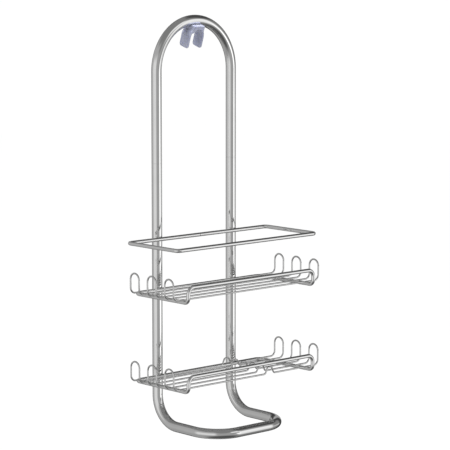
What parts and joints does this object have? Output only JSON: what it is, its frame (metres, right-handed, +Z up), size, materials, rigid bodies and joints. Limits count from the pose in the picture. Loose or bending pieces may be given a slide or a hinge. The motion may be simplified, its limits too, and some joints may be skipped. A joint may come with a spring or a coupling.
{
  "type": "hanging shower caddy",
  "caption": "Bent tube caddy that hangs from a shower arm, with a guard rail, wire baskets whose floor wires end in side hooks, and a towel bar at the foot.",
  "frame": {"origin": "on the shower arm's axis inside the grip, straight under the top of the arch", "axes": "+Z up, +Y towards the wall, +X to the right as seen from the front; the arm's axis lies in the YZ plane and slopes down 18 degrees towards -Y"},
  "size_m": [0.273, 0.1431, 0.5728],
  "materials": {
    "tube": "polished chrome plate",
    "wire": "polished chrome plate",
    "weld": "plated over, slightly rippled",
    "sleeve": "plain drawn steel, hidden",
    "grip": "clear soft vinyl with a blue tint"
  },
  "bodies": {
    "root": {"hanger_arch": "tube", "lower_frame": "tube", "left_splice_sleeve": "sleeve", "right_splice_sleeve": "sleeve", "arm_grip": "grip", "guard_rail": "wire", "guard_rail_welds": "weld", "upper_basket_rim": "wire", "upper_rim_welds": "weld", "upper_rear_hook_wire": "wire", "upper_middle_hook_wire": "wire", "upper_front_hook_wire": "wire", "upper_floor_welds": "weld", "lower_basket_rim": "wire", "lower_rim_welds": "weld", "lower_rear_hook_wire": "wire", "lower_middle_hook_wire": "wire", "lower_front_hook_wire": "wire", "lower_floor_welds": "weld"}
  },
  "joints": []
}
